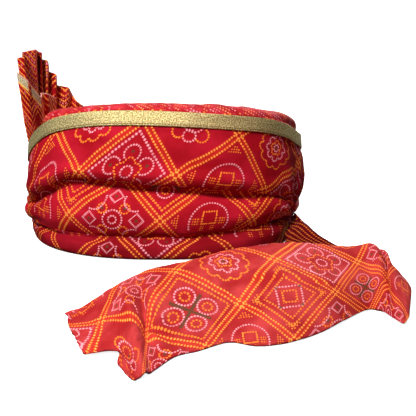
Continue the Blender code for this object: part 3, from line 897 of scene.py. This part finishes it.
def makeRim():
    floor = heightAt(azimuths, "upper") - rim["sink"] + turban["gap"]
    top = heightAt(azimuths, "rim")
    width = 1.0 - (1.0 - rim["narrow"]) * besideFan(azimuths)
    points = [planPoint(azimuths, a * width, b * width, floor + (top - floor) * up)
              for a, b, up in rim["section"]]
    grid = closedSection(np.stack(points, axis=1), (4, 4, 6, 8, 8, 6, 5))
    clothAt = clothRound(grid)
    face = ramp(grid[..., 2], (floor + 0.003)[:, None], (floor + 0.006)[:, None])
    lift = ripples(31, around[:, None], clothAt[:, :-1, 1] * 1.4, ((0.05, 0.0008), (0.018, 0.0004)))
    grid[..., 2] += lift * face
    made = clothMesh("rim_roll_cloth", grid[:-1], clothAt, roundRows=True, roundColumns=True)
    faceOut(made)
    made.data.materials.append(rimFinish())
    return made


rimRoll = makeRim()
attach(rimRoll, "root")
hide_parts("rim_roll")
print("rim made")

# Crown
crown = {
    "drop": 0.008,
    "height": 0.112,
    "thickness": 0.0015,
    "gathers": 34,
    "rings": 44,
    "fold": 0.0009,
    "swirl": 0.0006,
    "rowGap": 0.03,
    "pitch": 0.0034,
    "dot": 0.0009,
}


def makeCrown():
    shares = np.linspace(1.0, 0.02, crown["rings"])
    edge = planPoint(azimuths, 0.0, 0.0, 0.0, -turban["gap"] - 0.0004)
    level = heightAt(azimuths, "upper") - rim["sink"] - crown["drop"]
    height = crown["height"] + (level - crown["height"])[:, None] * shares[None] ** 2
    angle = np.radians(azimuths)[:, None]
    fold = np.sin(angle * crown["gathers"] + 2.2 * np.sin(angle * 3)) * ramp(shares, 0.1, 0.9)
    swirl = np.sin(angle * 5 + shares[None] * 9.0)
    inside = 1.0 - shares[None] ** 8
    height = height + crown["fold"] * fold * inside + crown["swirl"] * swirl * inside
    flatAt = edge[:, None, :2] * shares[None, :, None]
    grid = np.concatenate((flatAt, height[..., None]), axis=-1)
    made = clothMesh("crown_cloth", grid[:-1], flatAt, roundRows=True)
    mesh = made.data
    bm = bmesh.new()
    bm.from_mesh(mesh)
    middle = [e for e in bm.edges if e.is_boundary
              and (e.verts[0].co.xy - e.verts[1].co.xy).length < 0.001]
    bmesh.ops.holes_fill(bm, edges=middle, sides=0)
    bm.to_mesh(mesh)
    bm.free()
    mesh.shade_smooth()
    thicken(made, crown["thickness"])
    faceOut(made)
    area = gridArea(np.pad(flatAt, ((0, 0), (0, 0), (0, 1))))
    return made, tuple(float(side) for side in np.ptp(flatAt.reshape(-1, 2), axis=0)[::-1]), area


def crownFinish():
    made, start, shader = newFinish("crown_cotton")
    u, v, spot = clothPlace(start)
    clouds, specks = spot.noise(30.0, 4.0), spot.noise(900.0, 2.0)
    hue = clouds.soft(0.35, 0.7).tint(colour(0.40, 0.008, 0.02), colour(0.52, 0.014, 0.034))
    rows = joined([dotRow(across.fold(crown["rowGap"]), along, crown["pitch"], crown["dot"])
                   for across, along in ((u, v), (v, u))]).soft(0.35, 0.7)
    hue = (rows * 0.8).tint(hue, colour(1.0, 0.32, 0.08))
    dress(shader, hue, weave(u, v) + clouds * 0.0008, specks * 0.2 + 0.65)
    return made


crownCloth, crownSize, crownArea = makeCrown()
crownCloth.data.materials.append(crownFinish())
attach(crownCloth, "root")
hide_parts("crown_cap")
print("crown made, flat", crownSize, "area", crownArea)

# Fan of pleats: each fold's share of the way round, tip height, side and seat
tallFolds = (
    (0.199, 0.83, -1, 0.69), (0.215, 0.84, 0.5, 0.69), (0.375, 0.87, -1, 0.69),
    (0.481, 0.89, 1, 0.69), (0.603, 0.86, -0.4, 0.69), (0.575, 0.85, 1, 0.69),
    (0.670, 0.77, -1, 0.69), (0.640, 0.77, 1, 0.69), (0.724, 0.64, -1, 0.69),
    (0.721, 0.62, 1, 0.69), (0.786, 0.49, -1, 0.69), (0.838, 0.47, 1, 0.69),
    (0.908, 0.38, -0.5, 0.69), (0.894, 0.32, 1, 0.69), (0.995, 0.24, 0, 0.69),
)
shortFolds = (
    (0.066, 0.72, -1, 0.72), (0.075, 0.63, 0.65, 0.68), (0.100, 0.58, 0.2, 0.60),
    (0.205, 0.45, 1, 0.50), (0.389, 0.47, -0.2, 0.48), (0.429, 0.46, 0.8, 0.48),
    (0.635, 0.38, 0, 0.48),
)


def fanFinish(name, border):
    made, start, shader = newFinish(name)
    u, v, spot = clothPlace(start)
    clouds, specks, patch = spot.noise(40.0, 3.0), spot.noise(900.0, 2.0), spot.noise(45.0, 1.0)
    hue = clouds.soft(0.35, 0.7).tint(colour(0.26, 0.001, 0.004), colour(0.56, 0.003, 0.013))
    slope = abs(u.fold(fan["chevron"]))
    climb = v - slope + clouds * 0.010
    dots = dotRow(climb.fold(fan["rowGap"]), slope * 1.4, 0.0027, 0.00105).soft(0.3, 0.7)
    hue = (dots * patch.soft(0.32, 0.44)).tint(hue, colour(0.98, 0.30, 0.05))
    halfway = (climb + fan["rowGap"] / 2).fold(fan["rowGap"])
    flecks = dotRow(halfway, slope * 1.4, 0.0040, 0.0009).soft(0.35, 0.7)
    hue = (flecks * patch.soft(0.50, 0.60)).tint(hue, colour(0.90, 0.26, 0.30))
    if border:
        order, below, _ = clothPlace(start, "border")
        width = fan["border"]
        band = below.soft(width + 0.0004, width)
        band = band * (order.isNear(0.5, 0.50) + order.isNear(2.5, 0.50)).least(1.0)
        cord = below.soft(width - 0.0022, width - 0.0016)
        grey = specks.soft(0.35, 0.65).tint(colour(0.30, 0.22, 0.12), colour(0.72, 0.62, 0.40))
        gold = cord.tint(grey, colour(0.85, 0.55, 0.14))
        hue = band.tint(hue, gold)
        selvedge = below.soft(0.0014, 0.0008)
        hue = (selvedge * 0.75).tint(hue, colour(0.85, 0.40, 0.34))
    relief = weave(u, v) + clouds * 0.0006 + dots * 0.0002
    dress(shader, hue, relief, specks * 0.2 + 0.6, cloth["gloss"])
    return made


def makeFan(name, folds, finish, cuts=8):
    tipBase = float(heightAt(fan["to"], "upper")) - rim["sink"]
    spread = fan["to"] - fan["from"]
    bases, tips = [], []
    for order, (roundShare, tipUp, side, seatShare) in enumerate(folds):
        inside = (roundShare + folds[-1][0] * order / (len(folds) - 1)) / 2
        seatAzimuth = fan["to"] - spread * (fan["margin"] + (1.0 - 2 * fan["margin"]) * inside)
        seat = float(heightAt(seatAzimuth, "upper")) - rim["sink"] + fan["clear"]
        bases.append(planPoint(seatAzimuth, seatShare, seatShare, seat, -fan["gather"] * side))
        tipOut = fan["lean"] * tipUp - fan["depth"] * side
        tips.append(planPoint(fan["to"] - spread * roundShare, seatShare, seatShare,
                              tipBase + fan["height"] * tipUp, tipOut))
    bases, tips = np.array(bases), np.array(tips)
    places = np.linspace(0.0, len(folds) - 1.0, (len(folds) - 1) * cuts + 1)
    whole = np.arange(len(folds))

    def along(rows, soft):
        # straight panels whose creases are rounded off
        total = 0
        for shift, weight in ((-soft, 0.25), (0.0, 0.5), (soft, 0.25)):
            spots = np.clip(places + shift, 0.0, len(folds) - 1.0)
            spread = [np.interp(spots, whole, column) for column in rows.T]
            total = total + weight * np.stack(spread, axis=-1)
        return total

    feet, heads = along(bases, 0.10), along(tips, 0.13)
    rise = np.linspace(0.0, 1.0, fan["rows"])[None, :, None]
    grid = feet[:, None] * (1.0 - rise) + heads[:, None] * rise
    away = feet * (1, 1, 0) / np.linalg.norm(feet[:, :2], axis=1, keepdims=True)
    grid = grid + away[:, None] * fan["bow"] * np.interp(rise, pleatRings[:, 0], pleatRings[:, 1])
    v = runLength(grid, 1)
    u = runLength(grid, 0).mean(axis=1, keepdims=True) + np.zeros(v.shape)
    sway = ripples(len(folds), u, v, ((0.05, 0.0007), (0.02, 0.0004), (0.008, 0.00025)))
    sway = sway * ramp(rise[..., 0], 0.05, 0.4)
    grid = grid + facing(grid) * sway[..., None]
    clothAt = np.stack((u, v), axis=-1)
    order = places[:, None] + np.zeros(v.shape)
    made = clothMesh(name, grid, clothAt, border=np.stack((order, v[:, -1:] - v), axis=-1))
    thicken(made, fan["thickness"])
    made.data.materials.append(finish)
    return made, (float(u.max()), float(v.max())), gridArea(grid)


tallFan, tallSize, tallArea = makeFan("fan_tall_pleats", tallFolds,
                                      fanFinish("fan_dark_cotton", False))
shortFan, shortSize, shortArea = makeFan("fan_short_pleats", shortFolds,
                                         fanFinish("fan_border_cotton", True))
for piece, node, size, area in ((tallFan, "turra_tall_pleats", tallSize, tallArea),
                                (shortFan, "turra_short_pleats", shortSize, shortArea)):
    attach(piece, "root")
    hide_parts(node)
    print(node, "flat", size, "area", area)
print("fan made")

# Tail
tail = {
    "span": 0.254, "overhang": 0.055, "gap": 0.085, "reach": 0.160, "crest": 0.038,
    "back": 0.044, "cutWave": 0.016, "gather": 0.0030, "swell": 0.10, "shoulderRun": 0.45,
    "shoulderSwell": 0.22, "rows": 360, "columns": 128, "thickness": 0.0013, "solid": 0.0020,
    "cutRows": 4 / 46, "gatherRows": 9 / 46, "rootFolds": 3,
    "gatherAt": 0.0650, "rootSink": 0.0025, "rayAcross": 0.085, "rays": 9,
    "rayDepth": 0.0014, "rayReach": 0.032, "rayStart": (0.004, 0.014),
    "settles": (0.075, 0.110),         # across, where the folds give way to the surface
    "tuckAcross": 0.0440, "tuckBow": 0.0045, "tuckAlong": 0.205, "tuckDepth": 0.0022,
    "endSlant": 0.25, "endReach": (0.035, 0.050),
}
# The folds along the gather: depth, middle, width, where across they begin, how much of it stays
# at the front edge. Then the folds at the turned end: depth, middle, width.
gatherFolds = (
    (-0.0045, tail["gatherAt"], 0.0038, -0.005, 0.030, 0.25),
    (0.0048, 0.0500, 0.0085, -0.015, 0.030, 0.55),
    (0.0022, 0.0770, 0.0080, 0.010, 0.050, 0.0),
)
endFolds = ((-0.0045, 0.2610, 0.0036), (0.0016, 0.2520, 0.0050))
tailTable = (
    # crest: along, out, up; front: along, out, up; back: run, up
    (-0.005, 1.66, 0.04, 0.175, 0.930, 0.03, 0.10, 0.03),
    (0.040, 1.66, 0.14, 0.205, 1.000, 0.03, 0.20, 0.05),
    (0.090, 1.57, 0.31, 0.230, 1.020, 0.03, 0.40, 0.05),
    (0.205, 1.27, 0.52, 0.262, 0.960, 0.03, 0.80, 0.05),
    (0.290, 1.18, 0.64, 0.315, 0.812, 0.03, 0.95, 0.05),
    (0.370, 1.12, 0.76, 0.376, 0.750, 0.03, 1.00, 0.05),
    (0.460, 1.00, 0.84, 0.455, 0.662, 0.03, 1.00, 0.05),
    (0.551, 0.95, 0.89, 0.530, 0.700, 0.03, 1.00, 0.05),
    (0.646, 0.94, 0.94, 0.612, 0.665, 0.03, 1.00, 0.16),
    (0.736, 0.95, 0.93, 0.705, 0.555, 0.03, 1.00, 0.24),
    (0.815, 0.97, 0.91, 0.788, 0.405, 0.03, 1.00, 0.24),
    (0.886, 0.98, 0.93, 0.866, 0.275, 0.04, 0.90, 0.24),
    (0.936, 1.02, 0.93, 0.904, 0.300, 0.05, 0.70, 0.24),
    (0.949, 1.23, 0.74, 0.925, 0.395, 0.06, 0.45, 0.26),
    (0.972, 1.30, 0.58, 0.948, 0.455, 0.05, 0.30, 0.26),
    (0.997, 1.40, 0.34, 0.970, 0.380, 0.12, 0.15, 0.22),
    # the under layer, from the turned end back to the wraps
    (0.975, 1.36, 0.06, 0.950, 0.330, 0.04, 0.10, 0.05),
    (0.950, 0.93, 0.04, 0.820, 0.180, 0.04, 0.15, 0.04),
    (0.930, 0.34, 0.04, 0.740, -0.130, 0.04, 0.15, 0.04),
    (0.915, -0.13, 0.04, 0.680, -0.480, 0.04, 0.10, 0.04),
    (0.868, -0.39, 0.05, 0.670, -0.690, 0.05, 0.06, 0.05),
    (0.800, -0.51, 0.26, 0.672, -0.770, 0.06, 0.04, 0.26),
    (0.752, -0.64, 0.48, 0.690, -0.815, 0.16, 0.02, 0.48),
)
tailRoot = ((-19.0, 0.190), (-32.0, 0.090))       # azimuth and height of its far and near edge
# The cut end's lobes: share of the way from the crest to the front, how far along, how far out
cutTable = np.array((
    (0.00, 0.00, 0.00), (0.28, -0.36, 0.04), (0.46, -0.40, -0.62), (0.57, -0.24, -1.12),
    (0.64, 0.15, -0.20), (0.71, 0.42, 0.60), (0.80, 0.60, 0.40), (0.90, 0.30, -0.15),
    (1.00, 0.35, -0.40),
))


def tailRow(row):
    crestAlong, crestOut, crestUp, frontAlong, frontOut, frontUp, backRun, backUp = row
    endX = turban["headLength"] / 2 + turban["endWall"] + tail["overhang"]
    sideY = turban["headWidth"] / 2 + turban["sideWall"]
    lowest = tail["solid"] / 2 + turban["gap"]
    crest = np.array((endX - tail["span"] * (1 - crestAlong), -sideY - tail["gap"] * crestOut,
                      max(tail["crest"] * crestUp, lowest)))
    front = np.array((endX - tail["span"] * (1 - frontAlong),
                      -sideY - tail["gap"] - tail["reach"] * frontOut,
                      max(tail["crest"] * frontUp, lowest)))
    back = np.array((crest[0], crest[1] + tail["back"] * backRun,
                     max(tail["crest"] * backUp, lowest)))
    face = (crest + front) / 2 + (0, 0, tail["swell"] * crest[2])
    shoulder = crest + (back - crest) * tail["shoulderRun"]
    shoulder[2] += tail["shoulderSwell"] * (crest[2] - back[2])
    return np.array((back, shoulder, crest, face, front))


def rootRow():
    shares = np.linspace(0.0, 1.0, 5)
    azimuth = tailRoot[0][0] + (tailRoot[1][0] - tailRoot[0][0]) * shares
    height = (tailRoot[0][1] + (tailRoot[1][1] - tailRoot[0][1]) * shares) * turban["height"]
    out = pinchAt(azimuth, height) + tail["solid"] / 2 - tail["rootSink"]
    return planPoint(azimuth, 1.0, 1.02, height, out)


def crease(place, middle, width):
    return np.exp(-(((place - middle) / width) ** 2))


def tailFolds(u, v):
    # the gathered valley and hump, its rays, the tuck and the turned end's crease
    gather = tail["gatherAt"]
    settled = 1.0 - ramp(v, *tail["settles"])
    lift = sum(depth * crease(u, middle, width) * ramp(v, first, last)
               * (stays + (1.0 - stays) * settled)
               for depth, middle, width, first, last, stays in gatherFolds)
    away = np.hypot(u - gather, v - tail["rayAcross"])
    turn = np.arctan2(v - tail["rayAcross"], u - gather)
    rays = crease(away, 0.0, tail["rayReach"]) * ramp(away, *tail["rayStart"])
    lift += tail["rayDepth"] * rays * np.sin(turn * tail["rays"])
    tuck = tail["tuckAcross"] + tail["tuckBow"] * crease(u, tail["tuckAlong"], 0.025)
    lift += tail["tuckDepth"] * ramp(v, tuck + 0.0022, tuck) * ramp(v, tuck - 0.020, tuck) * (
        ramp(u, 0.135, 0.160) * (1.0 - ramp(u, 0.215, 0.235)))
    for depth, middle, width in endFolds:
        lift += depth * crease(u, middle + v * tail["endSlant"], width) * (
            1.0 - ramp(v, *tail["endReach"]))
    return lift


def drawnTogether(place):
    # the pattern skips over the cloth that is hidden in the gathered fold
    u, v = place[..., 0], place[..., 1]
    skip = 0.0060 * np.tanh((u - tail["gatherAt"]) / 0.007) * crease(v, 0.080, 0.050)
    return np.stack((u + skip * crease(u, tail["gatherAt"], 0.030), v), axis=-1)


def makeTail():
    rows = np.array([tailRow(row) for row in tailTable] + [rootRow()])
    drawn = curveThrough(rows.transpose(1, 0, 2), np.linspace(0.0, 4.0, tail["columns"]))
    grid = curveThrough(drawn.transpose(1, 0, 2), np.linspace(0.0, len(rows) - 1.0, tail["rows"]))
    along = np.linspace(0.0, 1.0, tail["rows"])[:, None]
    across = np.linspace(0.0, 1.0, tail["columns"])[None]
    frontShare = np.clip(across * 2 - 1, 0, 1)
    atCut = np.clip(1 - along / tail["cutRows"], 0, 1)
    fray = ripples(47, along * 0, across * 0.2, ((0.020, 0.0016), (0.006, 0.0008)))
    grid[..., 0] += fray * atCut
    fade = atCut * tail["cutWave"] * (across >= 0.5)
    grid[..., 0] += fade * np.interp(frontShare, cutTable[:, 0], cutTable[:, 1])
    grid[..., 1] += fade * np.interp(frontShare, cutTable[:, 0], cutTable[:, 2])
    wave = 0.5 - 0.5 * np.cos(2 * math.pi * tail["rootFolds"] * across)
    lift = tail["gather"] * np.clip(1 - (1 - along) / tail["gatherRows"], 0, 1) * wave
    away = grid[..., :2] / np.linalg.norm(grid[..., :2], axis=-1, keepdims=True)
    grid[..., :2] += away * lift[..., None]
    grid[..., 2] += lift * 0.5
    middle = tail["columns"] // 2
    u = runLength(grid, 0)[:, middle - 8:middle + 9].mean(axis=1)
    v = runLength(grid, 1)
    v = v - v[:, middle][:, None]
    u = u[:, None] + np.zeros(v.shape)
    normals = facing(grid)
    top = ramp(along, 0.70, 0.62)
    lift = ripples(41, u, v, ((0.09, 0.0012), (0.035, 0.0006), (0.015, 0.00030))) * (0.4 + 0.6 * top)
    lift += tailFolds(u, v) * top
    normals = normals * np.sign(normals[..., 2:3].mean())
    grid = grid + normals * lift[..., None]
    grid[..., 2] = np.maximum(grid[..., 2], tail["solid"] / 2 + turban["gap"])
    return grid, np.stack((u, v), axis=-1)


# Where the pattern's lines cross on the tail: along, across, then the tiles' s and t
tailCrossings = np.array((
    (0.022, 0.031, 0, 1), (0.066, 0.090, 0, 0), (0.094, 0.007, 1, 0), (0.119, 0.111, 0, -1),
    (0.148, 0.073, 1, -1), (0.175, 0.021, 2, -1), (0.190, 0.114, 1, -2), (0.221, 0.054, 2, -2),
    (0.240, 0.015, 3, -2), (0.249, 0.063, 2, -3), (0.350, 0.030, 4, -5), (0.350, -0.030, 5, -4),
    (0.450, 0.030, 6, -6), (0.450, -0.030, 7, -5), (0.010, -0.030, 1, 2),
))


def tailTiles(clothAt):
    # a thin plate bent through the crossings
    spots = drawnTogether(tailCrossings[:, :2])

    def plate(points):
        # how much every crossing pulls at each point, and the plane's own terms
        squared = ((points[:, None] - spots[None]) ** 2).sum(axis=-1)
        pulls = 0.5 * squared * np.log(squared + 1e-12)
        return np.concatenate((pulls, np.ones((len(points), 1)), points), axis=1)

    pulls = plate(spots)
    system = np.concatenate((pulls, np.pad(pulls[:, len(spots):].T, ((0, 0), (0, 3)))))
    wanted = np.concatenate((tailCrossings[:, 2:], np.zeros((3, 2))))
    weights = np.linalg.solve(system, wanted)
    tiles = plate(drawnTogether(clothAt).reshape(-1, 2)) @ weights
    return tiles.reshape(clothAt.shape)


tailLayout = {"start": 2, "figures": {
    (0, -1): "rings", (1, -2): "squares", (1, -1): "rosette", (2, -2): "flower",
    (2, -3): "rings", (0, 0): "cluster", (-1, 0): "paisley", (-1, -1): "cluster",
    (0, -2): "arch", (1, -3): "cluster", (0, 1): "arch", (-1, 1): "flower"}}
tailGrid, tailCloth = makeTail()
# painted shade on the tail's root, which lies in the turban's shadow; past the root's level it shows
# the root's own rows of dots alone
rootShadeAndPrint = ramp(np.linspace(0.0, 1.0, tail["rows"]), 0.78, 0.88)[:, None] * np.ones(tail["columns"])
tailPiece = clothMesh("tail_cloth", tailGrid, tailCloth, tailTiles(tailCloth),
                      figureTable(tailLayout), shadeAndRootPrint=rootShadeAndPrint)
thicken(tailPiece, tail["thickness"])
tailPiece.data.materials.append(tailFinish)
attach(tailPiece, "root")
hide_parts("tail")
area = gridArea(tailGrid)
size = (float(np.ptp(tailCloth[..., 1], axis=1).max()), float(tailCloth[..., 0].max()))
print("tail flat", size, "area", area)
print("tail made")

# Floor, lights and camera
studio = {
    "lens": 856 / 416 * 36,
    "place": (0.0424, -0.850, 0.225),      # from the turban's middle
    "pitch": -13.66,
    "ambient": 0.11,
    "floor": 12.0,
    "wall": 8.0,
    "sweep": 3.0,
}
bpy.ops.mesh.primitive_plane_add(size=studio["floor"], location=(0, 0, 0))
floor = bpy.context.active_object
floor.name = "studio_floor"
onlySelect(floor)
bpy.ops.object.mode_set(mode="EDIT")
bpy.ops.mesh.select_mode(type="EDGE")
bpy.ops.mesh.select_all(action="DESELECT")
bpy.ops.object.mode_set(mode="OBJECT")
for edge in floor.data.edges:
    edge.select = True
bpy.ops.object.mode_set(mode="EDIT")
bpy.ops.mesh.extrude_region_move(TRANSFORM_OT_translate={"value": (0, 0, studio["wall"])})
bpy.ops.object.mode_set(mode="OBJECT")
curve = floor.modifiers.new("sweep", "BEVEL")      # no corner behind the turban
curve.width = studio["sweep"]
curve.segments = 16
bpy.ops.object.modifier_apply(modifier=curve.name)
floor.data.shade_smooth()
floor.visible_diffuse = False                      # keeps the cloth's shaded side deep
floor.visible_glossy = False                       # and the gold from turning white
made, start, shader = newFinish("pale_floor")
spot = start.node("ShaderNodeTexCoord", output=3)
reach = start.node("ShaderNodeVectorMath", {"operation": "LENGTH"}, {0: spot}, output=1)
glow = reach.soft(0.25, 0.70).tint(colour(0.90, 0.90, 0.90), colour(1.0, 1.0, 1.0))
plug(shader, start, Emission_Color=glow)
shader.inputs["Base Color"].default_value = colour(0.90, 0.90, 0.90)
shader.inputs["Roughness"].default_value = 0.9
shader.inputs["Emission Strength"].default_value = 1.0
floor.data.materials.append(made)


# Each light: place, what it looks at, width, power
lights = {
    "key": ((-0.34, -0.64, 0.80), (0.0, -0.05, 0.05), 0.25, 16.0),
    "top": ((-0.5, -0.3, 2.2), (0.0, 0.0, 0.0), 1.4, 5.0),
    "back": ((0.9, 1.7, 1.1), (0.0, 0.05, 0.05), 1.0, 22.0),
}
for name, (place, aim, size, power) in lights.items():
    light = bpy.data.lights.new(name, "AREA")
    light.shape = "DISK"
    light.size = size
    light.energy = power
    lamp = addObject(name, light)
    lamp.location = place
    lamp.rotation_euler = (Vector(aim) - Vector(place)).to_track_quat("-Z", "Y").to_euler()
world = bpy.data.worlds.new("studio")
bpy.context.scene.world = world
world.use_nodes = True
background = world.node_tree.nodes["Background"]
background.inputs[0].default_value = colour(1, 1, 1)
background.inputs[1].default_value = studio["ambient"]
bpy.context.scene.view_settings.view_transform = "Standard"

camera = bpy.data.cameras.new("view")
camera.sensor_width = 36.0
camera.lens = studio["lens"]
cameraObject = addObject("view", camera)
cameraObject.location = np.array(studio["place"]) + centre
cameraObject.rotation_euler = (math.radians(90.0 + studio["pitch"]), 0.0, 0.0)
bpy.context.scene.camera = cameraObject
